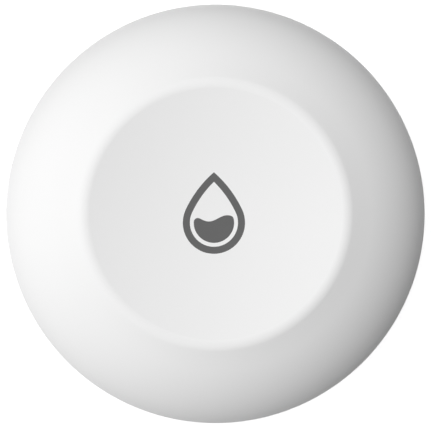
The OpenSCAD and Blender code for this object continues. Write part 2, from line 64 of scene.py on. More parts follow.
# Sizes of the body, which follow the part's source as the others do, with small rounds added
BODY_R = 25.0
BODY_H = 15.0
SEAM_H = 5.0
SEAM_ROUND = 0.2
COVER_WALL = 1.8
RIM_EXTRA = 0.5
LAND_R = BODY_R - COVER_WALL - RIM_EXTRA
CREST_R = 15.4
CREST_ROUND = 2.1
FLANK_EXTRA = math.radians(5.6)
DISH_SLOPE = math.radians(11)
PAD_R = 12.4
PAD_T = 1.2
WEB_T = 0.6
POST_R = 1.6
POST_Z = 9.89
POST_ROUND = 0.25
BOSS_R = 1.8
BOSS_HOLE_R = 0.95
BOSS_HOLE_TOP = 9.9
BOSS_TOP = 12.75
BOSS_SLOPE = 0.5

# Sizes of the symbol
DROP_H = 9.7
DROP_R = 3.7
DROP_LINE = 0.84
DROP_BOW = 0.66
POOL_GAP = 0.46
POOL_R = DROP_R - DROP_LINE - POOL_GAP
POOL_WAVE = 0.37
POOL_WAVE_L = 4.4
POOL_TROUGH = 0.6
POOL_LIFT = 0.15
POOL_ROUND = 0.5
SYMBOL_T = 0.15
SYMBOL_X = -0.17
SYMBOL_Y = 0.09

# Sizes of the snap dome in the switch
SNAP_R = 1.7
SNAP_RISE = 0.45
SNAP_T = 0.1
SNAP_Z = 8.12

# Sizes of the base
FOOT_H = 0.6
FLOOR_Z = 3.2
EDGE_IN = 4.0
LOOSE_GAP = 0.15
SPIGOT_T = 1.1
SPIGOT_OUT = LAND_R - LOOSE_GAP
SPIGOT_IN = SPIGOT_OUT - SPIGOT_T
SPIGOT_TOP = 6.8
GROOVE_IN = 23.15
GROOVE_OUT = 24.35
GROOVE_Z = 4.1
WELL_R = 13.3
WELL_OUT = 14.9
WELL_TOP = 6.82
SEAT_R = 14.8
SEAT_Z = 2.1
RING_R = (SEAT_R + SPIGOT_IN) / 2
SCREW_ANGLES = [math.radians(a) for a in (45, 135, 225, 315)]
SCREW_POCKET_R = 1.9
SCREW_SEAT = 2.4
SCREW_HOLE_R = 1.05
PROBE_ANGLES = [math.radians(a) for a in (180, 0)]
PROBE_POCKET_R = 1.95
PROBE_SEAT = 2.15
PROBE_HOLE_R = 1.15
MOUTH = 0.12

# Sizes of the probes
PROBE_R = 1.1
PROBE_HEAD_R = 1.8
PROBE_LOW = 0.25
PROBE_HEAD_TOP = 1.65
PROBE_TIP = 5.82
PROBE_ROUND = 0.35
TIP_BEVEL = 0.2
CROSS_L = 2.1
CROSS_W = 0.55
CROSS_T = 0.6
# Painted shade darkens each probe from this height, halfway up its cross recess, upwards
PAINTED_SHADE_LOW = PROBE_LOW + CROSS_T / 2

# Sizes of the feet
FOOT_R = 2.2
FOOT_ROUND = 0.25
FOOT_PLUG_R = 1.85
FOOT_PLUG_TOP = 1.1

# Sizes of the battery door
DOOR_R = 14.6
DOOR_EDGE = 1.9
DOOR_ROUND = 0.2
DOOR_TOP = 2.3
COLLAR_IN = 10.9
COLLAR_OUT = 11.9
COLLAR_TOP = 5.4
LUG_OUT = 13.0
LUG_Z = 4.3
LUG_PLAY = 0.1
LUG_ARC = math.radians(24)
LUG_ANGLES = [math.radians(a) for a in (120, 240, 360)]
LEDGE_IN = 12.2
LEDGE_Z = 3.2
LEDGE_ARC = math.radians(44)
DOOR_TURN = math.radians(60)
DOOR_DRAW = 0.8
SEAL_IN = 13.5
SEAL_OUT = 14.4
SEAL_FLOOR = 1.3
SLOT_L = 12.0
SLOT_W = 2.0
SLOT_T = 1.0
SLOT_CLEAR = 1.0

# Sizes of the sunk marks, and the height over which and the reach within which they are painted
MARK_W = 1.4
MARK_LINE = 0.3
MARK_T = 0.2
MARK_R = SEAT_R + MARK_W
ARROW_L = 2.2
ARROW_R = DOOR_R - MARK_W
SHUT_ANGLE = math.radians(300)
OPEN_ANGLE = math.radians(240)
PAINT_LOW = FOOT_H + MOUTH
PAINT_REACH = 1.54

# Steps round a large and a small turned piece
TURN_STEPS = 256
SMALL_STEPS = 64

# Steps along the curves of sections and outlines
CORNER_STEPS = 6
DOME_STEPS = 90
CREST_STEPS = 36
INNER_DOME_STEPS = 24
INNER_CREST_STEPS = 12
WEB_STEPS = 24
PAD_STEPS = 48
PAD_UNDER_STEPS = 16
LAYER_STEPS = 24
DROP_SIDE_STEPS = 40
DROP_ROUND_STEPS = 60
POOL_TOP_STEPS = 48
POOL_CORNER_STEPS = 10
POOL_BOTTOM_STEPS = 80
SNAP_STEPS = 16
EDGE_STEPS = 48
SECTOR_STEPS = 16
RIM_STEPS = 4

# Floor, light and camera
SHEET_R = 1500.0
SHEET_DROP = -0.05
SHEET_STEPS = 128
SHEET_BOUNCE = 0.7
SHEET_GLOW = 0.62
SIDE_LIGHT = 1.12
SIDE_TILT = math.radians(86.8)
SIDE_TURN = math.radians(194.1)
SIDE_FOCUS = 1.0
TOP_LIGHT = 1.785
TOP_TILT = math.radians(18.7)
TOP_TURN = math.radians(103.2)
TOP_FOCUS = 2.52
LOW_LIGHT = 4.5
LOW_TILT = math.radians(169)
LOW_TURN = math.radians(95)
LOW_FOCUS = 16.0
SENSOR = 36.0
CAMERA_X = 0.018
CAMERA_Y = -0.264
CAMERA_RISE = 2000.0
CAMERA_REACH = 10000.0
VIEW_WIDTH = 51.588


# Curves

def spread(start, end, steps):
    """Evenly spaced values from a start to an end."""
    return [start + (end - start) * i / steps for i in range(steps + 1)]


def root(rising, low, high, halvings=60):
    """The place between low and high where a rising function is nought."""
    for _ in range(halvings):
        middle = (low + high) / 2
        if rising(middle) > 0:
            high = middle
        else:
            low = middle
    return low


def arc(centre, r, start, end, steps):
    """Points of an arc from one angle to another."""
    return [(centre[0] + r * math.cos(a), centre[1] + r * math.sin(a)) for a in spread(start, end, steps)]


def corner(centre, r, start):
    """A quarter round, counterclockwise from a start in degrees."""
    return arc(centre, r, math.radians(start), math.radians(start + 90), CORNER_STEPS)


def backwards(points):
    return list(reversed(points))


# A plain dome would be half an ellipse on the seam that touches the crest's rounding at one slope
def touch(slope):
    """Radius and height at which the crest's rounding has a slope."""
    return CREST_R + CREST_ROUND * math.sin(slope), BODY_H - CREST_ROUND * (1 - math.cos(slope))


def plain_error(slope):
    r, z = touch(slope)
    t = math.acos(r / BODY_R)
    return math.tan(slope) - (z - SEAM_H) / math.sin(t) / BODY_R / math.tan(t)


# The flank is steeper and straight, from the crest's rounding down to a lower ellipse that it touches
SLOPE_LIMITS = (math.radians(1), math.radians(60))
FLANK = root(plain_error, *SLOPE_LIMITS) + FLANK_EXTRA


def flank_angle(rise):
    return math.atan(rise / BODY_R / math.tan(FLANK))


def flank_error(rise):
    t = flank_angle(rise)
    r, z = touch(FLANK)
    return SEAM_H + rise * math.sin(t) + (BODY_R * math.cos(t) - r) * math.tan(FLANK) - z


RISE_LIMITS = (1, 2 * BODY_R)
DOME_H = root(flank_error, *RISE_LIMITS)
DOME_TOP = flank_angle(DOME_H)


def dome_point(t, depth):
    """Point of the dome at one angle, moved in by a depth."""
    normal = Vector((math.cos(t) / BODY_R, math.sin(t) / DOME_H)).normalized()
    return (BODY_R * math.cos(t) - depth * normal.x, SEAM_H + DOME_H * math.sin(t) - depth * normal.y)


def dome_arc(depth, start, steps):
    return [dome_point(t, depth) for t in spread(start, DOME_TOP, steps)]


CREST = (CREST_R, BODY_H - CREST_ROUND)
HALF_PI = math.pi / 2


def crest_arc(depth, steps):
    """The crest's rounding at a depth, without the point where it meets the flank."""
    return arc(CREST, CREST_ROUND - depth, HALF_PI - FLANK, HALF_PI + DISH_SLOPE, steps)[1:]


# The dish is part of a ball over it
DISH_BALL = (CREST_R - CREST_ROUND * math.sin(DISH_SLOPE)) / math.sin(DISH_SLOPE)
BALL_Z = CREST[1] + (CREST_ROUND + DISH_BALL) * math.cos(DISH_SLOPE)
DISH_Z = BALL_Z - DISH_BALL
PAD_SLOPE = math.asin(PAD_R / DISH_BALL)


def under_dish(slope, depth):
    """Point at a depth under the dish, where the dish has one slope."""
    reach = DISH_BALL + depth
    return (reach * math.sin(slope), BALL_Z - reach * math.cos(slope))


def on_ring(angle, r=RING_R):
    """Place on a ring round the upright axis, at the height of the floor."""
    return (r * math.cos(angle), r * math.sin(angle), 0)


# Modelling

def pick(*pieces):
    """Select these pieces alone, with the first one active."""
    bpy.ops.object.select_all(action="DESELECT")
    for piece in pieces:
        piece.select_set(True)
    bpy.context.view_layer.objects.active = pieces[0]


def new_piece(name):
    """An empty mesh in edit mode."""
    bpy.ops.object.select_all(action="DESELECT")
    bpy.ops.mesh.primitive_plane_add(size=1)
    bpy.context.object.name = name
    bpy.ops.object.mode_set(mode="EDIT")
    bpy.ops.mesh.select_all(action="SELECT")
    bpy.ops.mesh.delete(type="VERT")


def draw(points, closed=True):
    """Draw a line of edges through points, from a new vertex that is extruded from each to the next."""
    bpy.ops.mesh.select_all(action="DESELECT")
    bpy.ops.mesh.primitive_plane_add(size=1)
    bpy.ops.mesh.merge(type="CENTER")
    places = [Vector(p) for p in points]
    bpy.ops.transform.translate(value=places[0])
    ends = places[1:] + places[:1] if closed else places[1:]
    for start, end in zip(places, ends):
        bpy.ops.mesh.extrude_region_move(TRANSFORM_OT_translate={"value": end - start})


def merge():
    """Select all of the mesh in edit mode, and merge its doubled vertices."""
    bpy.ops.mesh.select_all(action="SELECT")
    bpy.ops.mesh.remove_doubles(threshold=WELD)


def weld():
    """Merge doubled vertices, turn the faces outwards and leave edit mode."""
    merge()
    bpy.ops.mesh.normals_make_consistent(inside=False)
    bpy.ops.object.mode_set(mode="OBJECT")
    return bpy.context.object


def raise_by(height):
    """Extrude what is selected upwards."""
    bpy.ops.mesh.extrude_region_move(TRANSFORM_OT_translate={"value": (0, 0, height)})


def turned(name, section, steps=TURN_STEPS, closed=True):
    """Spin a section of (radius, height) points round the upright axis, and close what is left open."""
    new_piece(name)
    draw([(r, 0, z) for r, z in section], closed)
    bpy.ops.mesh.select_all(action="SELECT")
    bpy.ops.mesh.spin(steps=steps, angle=math.tau, center=(0, 0, 0), axis=(0, 0, 1))
    merge()
    bpy.ops.mesh.fill_holes(sides=0)
    return weld()


def prism(name, outline, bottom, top):
    """An outline of (x, y) points, filled at one height and extruded to another."""
    new_piece(name)
    draw([(x, y, bottom) for x, y in outline])
    merge()
    bpy.ops.mesh.edge_face_add()
    raise_by(top - bottom)
    return weld()


def settle(piece):
    """Put a piece's place, turn and scale into its mesh."""
    pick(piece)
    bpy.ops.object.transform_apply(location=True, rotation=True, scale=True)
    return piece


def ring_sector(name, radii, heights, width):
    """Part of a ring with flat ends, its middle on the X axis."""
    new_piece(name)
    draw([(radii[0], 0, heights[0]), (radii[1], 0, heights[0]), (radii[1], 0, heights[1]),
          (radii[0], 0, heights[1])])
    merge()
    bpy.ops.mesh.spin(steps=SECTOR_STEPS, angle=width, center=(0, 0, 0), axis=(0, 0, 1))
    bpy.ops.mesh.select_all(action="SELECT")
    bpy.ops.mesh.fill_holes(sides=0)
    sector = weld()
    sector.rotation_euler.z = -width / 2
    return settle(sector)


def copy_at(piece, name, place, angle=0.0):
    """A copy of a piece with its own mesh, turned and moved."""
    copy = piece.copy()
    copy.data = piece.data.copy()
    copy.name = name
    bpy.context.scene.collection.objects.link(copy)
    copy.location = place
    copy.rotation_euler.z = angle
    return settle(copy)


def joined(pieces):
    """One object of several that don't touch."""
    pick(*pieces)
    bpy.ops.object.join()
    return bpy.context.object


def combine(piece, tool, operation, keep_tool=False):
    """Cut a tool out of a piece, add it, or keep only what lies in both."""
    change = piece.modifiers.new(operation, "BOOLEAN")
    change.operation = operation
    change.solver = "EXACT"
    change.object = tool
    pick(piece)
    bpy.ops.object.modifier_apply(modifier=change.name)
    if not keep_tool:
        bpy.data.objects.remove(tool)
    bpy.ops.object.mode_set(mode="EDIT")
    return weld()


def halved(piece, place, normal):
    """Cut off what lies on the side of a plane that its normal points to."""
    pick(piece)
    bpy.ops.object.mode_set(mode="EDIT")
    bpy.ops.mesh.select_all(action="SELECT")
    bpy.ops.mesh.bisect(plane_co=place, plane_no=normal, use_fill=True, clear_outer=True, threshold=WELD)
    return weld()


def finished(piece, material, node, body=None):
    """Scale a piece to metres, smooth it, and let it stand for a CAD node and ride on any body named."""
    piece.scale = (MM, MM, MM)
    settle(piece)
    bpy.ops.object.shade_smooth_by_angle(angle=SMOOTH_ANGLE)
    even = piece.modifiers.new("even_normals", "WEIGHTED_NORMAL")
    even.keep_sharp = True
    bpy.ops.object.modifier_apply(modifier=even.name)
    piece.data.materials.clear()
    piece.data.materials.append(material)
    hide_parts(node)
    if body:
        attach(piece, body)


# Materials

class Wire:
    """An output of a node that takes part in Python expressions."""

    def __init__(self, graph, socket):
        self.graph = graph
        self.socket = socket

    def maths(self, operation, first, second):
        return self.graph.node("Math", {"operation": operation}, {0: first, 1: second})

    def __add__(self, other):
        return self.maths("ADD", self, other)

    def __sub__(self, other):
        return self.maths("SUBTRACT", self, other)

    def __rsub__(self, other):
        return self.maths("SUBTRACT", other, self)

    def __mul__(self, other):
        return self.maths("MULTIPLY", self, other)

    def __pow__(self, other):
        return self.maths("POWER", self, other)

    def __or__(self, other):
        return self.maths("MAXIMUM", self, other)

    def __and__(self, other):
        return self.maths("MINIMUM", self, other)

    def __gt__(self, other):
        return self.maths("GREATER_THAN", self, other)

    def __lt__(self, other):
        return self.maths("LESS_THAN", self, other)

    __radd__ = __add__
    __rmul__ = __mul__


class Graph:
    """The nodes of one material or of the world."""

    def __init__(self, owner):
        owner.use_nodes = True
        self.owner = owner
        self.tree = owner.node_tree
        self.tree.nodes.clear()

    def node(self, kind, settings=None, sockets=None, output=0):
        """Add one node: its settings first, then the values or links of its sockets. Returns one output."""
        made = self.tree.nodes.new("ShaderNode" + kind)
        for name, value in (settings or {}).items():
            setattr(made, name, value)
        for name, value in (sockets or {}).items():
            if isinstance(value, Wire):
                self.tree.links.new(value.socket, made.inputs[name])
            else:
                made.inputs[name].default_value = value
        return Wire(self, made.outputs[output] if made.outputs else None)

    def place(self, centre=(0, 0, 0), stretch=(1, 1, 1)):
        """Object coordinates in metres round a centre, stretched along the axes."""
        own = self.node("TexCoord", output="Object")
        moved = [-c * MM * s for c, s in zip(centre, stretch)]
        return self.node("Mapping", {}, {"Vector": own, "Location": moved, "Scale": stretch})

    def height(self):
        """Height over the floor, in metres."""
        return self.node("SeparateXYZ", {}, {0: self.place()}, output="Z")

    def far(self, centre):
        """Distance from a centre, in metres."""
        return self.node("VectorMath", {"operation": "LENGTH"}, {0: self.place(centre)}, output="Value")

    def noise(self, place, size, detail=2.0):
        """Soft noise from 0 to 1 whose patches are about one size across."""
        return self.node("TexNoise", {}, {"Vector": place, "Scale": 1 / (size * MM), "Detail": detail})

    def mix(self, share, first, second):
        """A colour between two, by a share from 0 to 1. Colours go in at sockets 6 and 7, and out at 2."""
        return self.node("Mix", {"data_type": "RGBA"}, {0: share, 6: first, 7: second}, output=2)

    def bump(self, height, depth):
        """Dents and bumps that follow a height from 0 to 1, where 1 stands a depth over 0."""
        return self.node("Bump", {}, {"Height": height, "Distance": depth * MM})

    def seen(self):
        """1 for rays from the camera, a shiny surface or glass, and 0 for those that gather soft light."""
        return (self.node("LightPath", output="Is Camera Ray")
                | self.node("LightPath", output="Is Glossy Ray")
                | self.node("LightPath", output="Is Transmission Ray"))

    def surface(self, **sockets):
        """Finish a material with one shader whose sockets are named with _ for spaces."""
        named = {name.replace("_", " "): value for name, value in sockets.items()}
        shader = self.node("BsdfPrincipled", {}, named)
        self.node("OutputMaterial", {}, {"Surface": shader})
        return self.owner


def new_material(name):
    return Graph(bpy.data.materials.new(name))


def grey(level):
    return (level, level, level, 1.0)


def shared(first, second, share):
    """Two patterns in one, by the first one's share."""
    return first * share + second * (1 - share)


def around(pattern, middle, swing):
    """A value round a middle, which a pattern from 0 to 1 moves by half a swing to each side."""
    return pattern * swing + (middle - swing / 2)


# Colours: alone, or in pairs with the dark tone first
PAINT = grey(0.2)
# Near-black painted shade for the probes' cross recesses and the parts of their heads in the pockets
PAINTED_SHADE_STEEL = grey(0.1)
TRACK_GREEN = (0.04, 0.2, 0.06, 1)
SHELL_WHITE = (grey(0.825), grey(0.845))
# The dish's white is a touch darker than the shell's: painted shade for the hollow of the dish
SHADED_DISH_WHITE = (grey(0.811), grey(0.831))
INK_GREY = (grey(0.108), grey(0.128))
FOOT_GREY = ((0.48, 0.49, 0.5, 1), (0.56, 0.57, 0.58, 1))
PROBE_STEEL = ((0.42, 0.42, 0.43, 1), (0.62, 0.62, 0.63, 1))
SEAL_BLACK = (grey(0.015), grey(0.03))
NICKEL = ((0.5, 0.5, 0.5, 1), (0.72, 0.72, 0.71, 1))
EPOXY_BLACK = (grey(0.018), grey(0.03))
GASKET_GREY = (grey(0.29), grey(0.36))
ZINC = ((0.36, 0.37, 0.4, 1), (0.55, 0.57, 0.6, 1))
BRASS = ((0.5, 0.33, 0.1, 1), (0.72, 0.5, 0.18, 1))
BOARD_GREEN = ((0.006, 0.07, 0.03, 1), (0.01, 0.105, 0.045, 1))
COPPER = ((0.5, 0.24, 0.12, 1), (0.72, 0.38, 0.2, 1))
CERAMIC_BROWN = ((0.2, 0.12, 0.06, 1), (0.3, 0.19, 0.1, 1))
RESIN_YELLOW = ((0.74, 0.68, 0.46, 1), (0.85, 0.8, 0.6, 1))
STEM_CREAM = ((0.62, 0.58, 0.44, 1), (0.7, 0.66, 0.52, 1))
CELL_STEEL = ((0.58, 0.58, 0.57, 1), (0.72, 0.72, 0.71, 1))
PELLET_BLACK = (grey(0.015), grey(0.035))
CUSHION_BLACK = (grey(0.02), grey(0.05))


def moulded(name, tones, rough, grain=0.12, depth=0.004, shine=0.3, marks=()):
    """Plastic, rubber or the like: a fine grain, faint clouds in the colour, and paint in any sunk marks."""
    graph = new_material(name)
    place = graph.place()
    cloud = graph.noise(place, size=12.0)
    fleck = graph.noise(place, size=grain, detail=3.0)
    colour = graph.mix(shared(cloud, fleck, share=0.7), *tones)
    for centre in marks:
        sunk = (graph.height() > PAINT_LOW * MM) * (graph.far(centre) < PAINT_REACH * MM)
        colour = graph.mix(sunk * around(fleck, middle=0.9, swing=0.2), colour, PAINT)
    return graph.surface(
        Base_Color=colour,
        Roughness=around(fleck, middle=rough, swing=0.12),
        Specular_IOR_Level=shine,
        Normal=graph.bump(fleck, depth))


def printed(name, tones):
    """Flat ink with fine pores."""
    graph = new_material(name)
    place = graph.place()
    pores = graph.noise(place, size=0.08, detail=4.0)
    cloud = graph.noise(place, size=3.0)
    return graph.surface(
        Base_Color=graph.mix(shared(pores, cloud, share=0.5), *tones),
        Roughness=around(pores, middle=0.55, swing=0.1),
        Specular_IOR_Level=0.25,
        Normal=graph.bump(pores, depth=0.002))


def turned_metal(name, tones, centre):
    """Metal with lathe rings round one centre, fine scratches, and painted shade from halfway up its recess.
    """
    graph = new_material(name)
    # Painted shade: all that lies higher than this, in the recess and in the pocket, is near black
    recess = graph.height() > PAINTED_SHADE_LOW * MM
    rings = graph.node(
        "TexWave", {"wave_type": "RINGS", "rings_direction": "Z"},
        {"Vector": graph.place(centre), "Scale": 2400.0, "Distortion": 0.4, "Detail": 2.0}, output="Fac")
    scratch = graph.noise(graph.place(centre, stretch=(1, 6, 1)), size=0.2, detail=3.0)
    bare = graph.mix(shared(rings, scratch, share=0.5), *tones)
    return graph.surface(
        Base_Color=graph.mix(recess, bare, PAINTED_SHADE_STEEL),
        Metallic=1.0,
        Roughness=around(rings, middle=0.21, swing=0.1) + scratch * 0.12,
        Normal=graph.bump(rings + scratch * 0.3, depth=0.003))


def rolled_metal(name, tones, stretch):
    """Metal with fine lines along the way it was rolled or drawn."""
    graph = new_material(name)
    lines = graph.noise(graph.place(stretch=stretch), size=0.2, detail=4.0)
    stain = graph.noise(graph.place(), size=3.0)
    return graph.surface(
        Base_Color=graph.mix(shared(lines, stain, share=0.6), *tones),
        Metallic=1.0,
        Roughness=around(lines, middle=0.3, swing=0.2),
        Normal=graph.bump(lines, depth=0.002))


def solder_mask(name, tones):
    """Green board with copper tracks that show through, and a faint glass weave."""
    graph = new_material(name)
    place = graph.place()
    tracks = graph.node(
        "TexBrick", {"offset": 0.35},
        {"Vector": graph.place(stretch=(1, 1, 0.001)), "Scale": 420.0, "Mortar Size": 0.05,
         "Brick Width": 1.3, "Row Height": 0.4}, output="Fac")
    weave = graph.node("TexWave", {}, {"Vector": place, "Scale": 900.0}, output="Fac")
    ground = graph.noise(place, size=4.0)
    return graph.surface(
        Base_Color=graph.mix(tracks * 0.55, graph.mix(ground, *tones), TRACK_GREEN),
        Roughness=around(ground, middle=0.325, swing=0.15),
        Normal=graph.bump(tracks + weave * 0.15, depth=0.02))


def foam(name, tones):
    """Closed foam with small cells."""
    graph = new_material(name)
    cells = graph.node("TexVoronoi", {}, {"Vector": graph.place(), "Scale": 3500.0})
    return graph.surface(
        Base_Color=graph.mix(cells, *tones),
        Roughness=around(cells, middle=0.8, swing=0.2),
        Normal=graph.bump(cells, depth=0.05))


base_marks = [on_ring(a, MARK_R) for a in (SHUT_ANGLE, OPEN_ANGLE)]
door_marks = [on_ring(SHUT_ANGLE, ARROW_R - ARROW_L / 2)]
shell_plastic = moulded("shell_plastic", SHELL_WHITE, rough=0.6, shine=0.2)
base_plastic = moulded("base_plastic", SHELL_WHITE, rough=0.6, shine=0.2, marks=base_marks)
door_plastic = moulded("door_plastic", SHELL_WHITE, rough=0.6, shine=0.2, marks=door_marks)
# The pad and the web take the dish's darker white, which is painted shade
dish_plastic = moulded("dish_plastic", SHADED_DISH_WHITE, rough=0.6, shine=0.2)
soft_skin = moulded("web_skin", SHADED_DISH_WHITE, rough=0.65, shine=0.2)
ink = printed("symbol_ink", INK_GREY)
silicone = moulded("foot_silicone", FOOT_GREY, rough=0.6, grain=0.2)
left_steel = turned_metal("left_probe_steel", PROBE_STEEL, on_ring(PROBE_ANGLES[0]))
right_steel = turned_metal("right_probe_steel", PROBE_STEEL, on_ring(PROBE_ANGLES[1]))
black_rubber = moulded("seal_rubber", SEAL_BLACK, rough=0.5, grain=0.3)
pressed_nickel = rolled_metal("sheet_nickel", NICKEL, (1, 8, 8))
epoxy = moulded("chip_epoxy", EPOXY_BLACK, rough=0.55, grain=0.06)

# The nodes inside keep their CAD shape
INSIDE = {
    "housing_gasket": moulded("gasket_silicone", GASKET_GREY, rough=0.55, grain=0.3),
    "probe_seals": black_rubber,
    "door_seal": black_rubber,
    "case_screws": rolled_metal("screw_zinc", ZINC, (4, 4, 1)),
    "probe_standoffs": rolled_metal("standoff_brass", BRASS, (1, 1, 12)),
    "circuit_board": solder_mask("board_mask", BOARD_GREEN),
    "radio_chip": epoxy,
    "switch_body": epoxy,
    "cell_gasket": epoxy,
    "crystal": pressed_nickel,
    "switch_legs": pressed_nickel,
    "positive_clips": pressed_nickel,
    "negative_leaf": pressed_nickel,
    "antenna": rolled_metal("track_copper", COPPER, (1, 1, 1)),
    "chip_capacitors": moulded("capacitor_ceramic", CERAMIC_BROWN, rough=0.4),
    "status_led": moulded("light_resin", RESIN_YELLOW, rough=0.25),
    "switch_stem": moulded("stem_plastic", STEM_CREAM, rough=0.5),
    "cell_can": rolled_metal("cell_steel", CELL_STEEL, (10, 1, 10)),
    "cell_cap": rolled_metal("cap_steel", CELL_STEEL, (1, 10, 10)),
    "cell_core": moulded("cell_pellet", PELLET_BLACK, rough=0.8, grain=0.2, depth=0.02),
    "cell_cushion": foam("cushion_foam", CUSHION_BLACK),
}
for node, material in INSIDE.items():
    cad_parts[node].data.materials[0] = material


# Cover

dome_start = math.asin(SEAM_ROUND / DOME_H)
land_angle = root(lambda t: LAND_R - dome_point(t, COVER_WALL)[0], 0, DOME_TOP)
cover_section = (
    [(LAND_R, SEAM_H)]
    + corner((BODY_R - SEAM_ROUND, SEAM_H + SEAM_ROUND), SEAM_ROUND, -90)[:-1]
    + dome_arc(0, dome_start, DOME_STEPS)
    + crest_arc(0, CREST_STEPS)
    + backwards(crest_arc(COVER_WALL, INNER_CREST_STEPS))
    + backwards(dome_arc(COVER_WALL, land_angle, INNER_DOME_STEPS)))
cover = turned("cover_shell", cover_section)

# Four bosses for the case screws, whose sloping tops end inside the dome's wall
boss_section = [(BOSS_HOLE_R, FLOOR_Z), (BOSS_R, FLOOR_Z), (BOSS_R, BODY_H), (0, BODY_H),
                (0, BOSS_HOLE_TOP), (BOSS_HOLE_R, BOSS_HOLE_TOP)]
boss = turned("boss", boss_section, SMALL_STEPS)
halved(boss, (0, 0, BOSS_TOP), (BOSS_SLOPE, 0, 1))
bosses = [copy_at(boss, "boss_copy", on_ring(a), a) for a in SCREW_ANGLES]
bpy.data.objects.remove(boss)
combine(cover, joined(bosses), "UNION")
finished(cover, shell_plastic, "top_cover", "housing")


# Soft web: as thick as the pad and the cover where it joins them, and thin between

def web_point(share, under):
    """Point of the web at a share of the way from the pad to the cover, on its underside or its top."""
    slope = PAD_SLOPE + (DISH_SLOPE - PAD_SLOPE) * share
    thin = (1 - math.cos(math.tau * share)) / 2
    thickness = (1 - thin) * (PAD_T + (COVER_WALL - PAD_T) * share) + thin * WEB_T
    return under_dish(slope, thickness if under else 0)


web_shares = spread(0, 1, WEB_STEPS)
web_top = [web_point(share, False) for share in web_shares]
web_bottom = [web_point(share, True) for share in web_shares]
web = turned("web_ring", web_top + backwards(web_bottom))
finished(web, soft_skin, "flex_web")
web_top[-1][1] * MM
web_top[0][1] * MM
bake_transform(web)


# Pad in the middle of the dish, with a post that presses the switch

post_slope = math.asin(POST_R / (DISH_BALL + PAD_T))
pad_section = (
    [under_dish(slope, 0) for slope in spread(0, PAD_SLOPE, PAD_STEPS)]
    + [under_dish(slope, PAD_T) for slope in spread(PAD_SLOPE, post_slope, PAD_UNDER_STEPS)]
    + backwards(corner((POST_R - POST_ROUND, POST_Z + POST_ROUND), POST_ROUND, -90))
    + [(0, POST_Z)])
pad = turned("dish_pad", pad_section, closed=False)


# Symbol: the outline of a drop, and a pool with a wavy top in it

drop_y = DROP_R - DROP_H / 2
tip_rise = DROP_H - DROP_R
side_angle = DROP_BOW * math.asin(DROP_R / tip_rise)
side_offset = (tip_rise ** 2 - DROP_R ** 2) / (2 * (DROP_R - tip_rise * math.sin(side_angle)))
side_centre = (-side_offset * math.cos(side_angle), drop_y - side_offset * math.sin(side_angle))


def drop_outline(inset):
    """The drop moved in by an inset: from its tip down its right side, round, and up its left side."""
    side_r = DROP_R + side_offset - inset
    tip_angle = math.acos(-side_centre[0] / side_r)
    right = (arc(side_centre, side_r, tip_angle, side_angle, DROP_SIDE_STEPS)[:-1]
             + arc((0, drop_y), DROP_R - inset, side_angle, -HALF_PI, DROP_ROUND_STEPS))
    return right + [(-x, y) for x, y in backwards(right[1:-1])]


def wave(x):
    """Height of the pool's top over the middle of the drop's round."""
    return POOL_LIFT + POOL_WAVE * (1 - math.cos(math.tau * (x + POOL_TROUGH) / POOL_WAVE_L))


def under_wave(x):
    """Centre of the small round that touches the wave from below at x."""
    steepness = math.tau * POOL_WAVE / POOL_WAVE_L * math.sin(math.tau * (x + POOL_TROUGH) / POOL_WAVE_L)
    return Vector((x, wave(x))) + POOL_ROUND * Vector((steepness, -1)).normalized()


def pool_outline():
    """The pool: along its wavy top, round a corner, back along its round bottom, and round a corner."""
    reach = POOL_R - POOL_ROUND
    right_x = root(lambda x: under_wave(x).length - reach, 0, POOL_R)
    left_x = -root(lambda x: under_wave(-x).length - reach, 0, POOL_R)
    top = [(x, wave(x)) for x in spread(left_x, right_x, POOL_TOP_STEPS)]
    right = under_wave(right_x)
    left = under_wave(left_x)
    right_out = math.atan2(right.y, right.x)
    left_out = math.atan2(left.y, left.x)
    if left_out > 0:
        left_out -= math.tau
    right_touch = math.atan2(wave(right_x) - right.y, right_x - right.x)
    left_touch = math.atan2(wave(left_x) - left.y, left_x - left.x)
    edge = (top + arc(right, POOL_ROUND, right_touch, right_out, POOL_CORNER_STEPS)[1:]
            + arc((0, 0), POOL_R, right_out, left_out, POOL_BOTTOM_STEPS)[1:]
            + arc(left, POOL_ROUND, left_out, left_touch - math.tau, POOL_CORNER_STEPS)[1:-1])
    return [(x, y + drop_y) for x, y in edge]


symbol_bottom = DISH_Z - CUT
symbol_top = DISH_Z + 2 * CUT
new_piece("drop_cutter")
draw([(x, y, symbol_bottom) for x, y in drop_outline(0)])
draw([(x, y, symbol_bottom) for x, y in drop_outline(DROP_LINE)])
merge()
bpy.ops.mesh.bridge_edge_loops()
bpy.ops.mesh.select_all(action="SELECT")
raise_by(symbol_top - symbol_bottom)
drop_cutter = weld()
pool_cutter = prism("pool_cutter", pool_outline(), symbol_bottom, symbol_top)
symbol_cutter = joined([drop_cutter, pool_cutter])
symbol_cutter.location = (SYMBOL_X, SYMBOL_Y, 0)
settle(symbol_cutter)

# The symbol is equally deep all over, so its cutter ends along the dish
layer_slopes = spread(0, PAD_SLOPE / 2, LAYER_STEPS)
layer_section = ([under_dish(slope, SYMBOL_T) for slope in layer_slopes]
                 + [under_dish(slope, -CUT) for slope in backwards(layer_slopes)])
combine(symbol_cutter, turned("symbol_layer", layer_section, closed=False), "INTERSECT")
inlay = copy_at(pad, "drop_inlay", (0, 0, 0))
combine(inlay, symbol_cutter, "INTERSECT", keep_tool=True)
combine(pad, symbol_cutter, "DIFFERENCE")
finished(pad, dish_plastic, "press_pad", "press_button")
finished(inlay, ink, "drop_symbol", "press_button")


# Snap dome: a shallow cap of sheet metal that the switch's stem flattens

snap_ball = (SNAP_R ** 2 + SNAP_RISE ** 2) / (2 * SNAP_RISE)


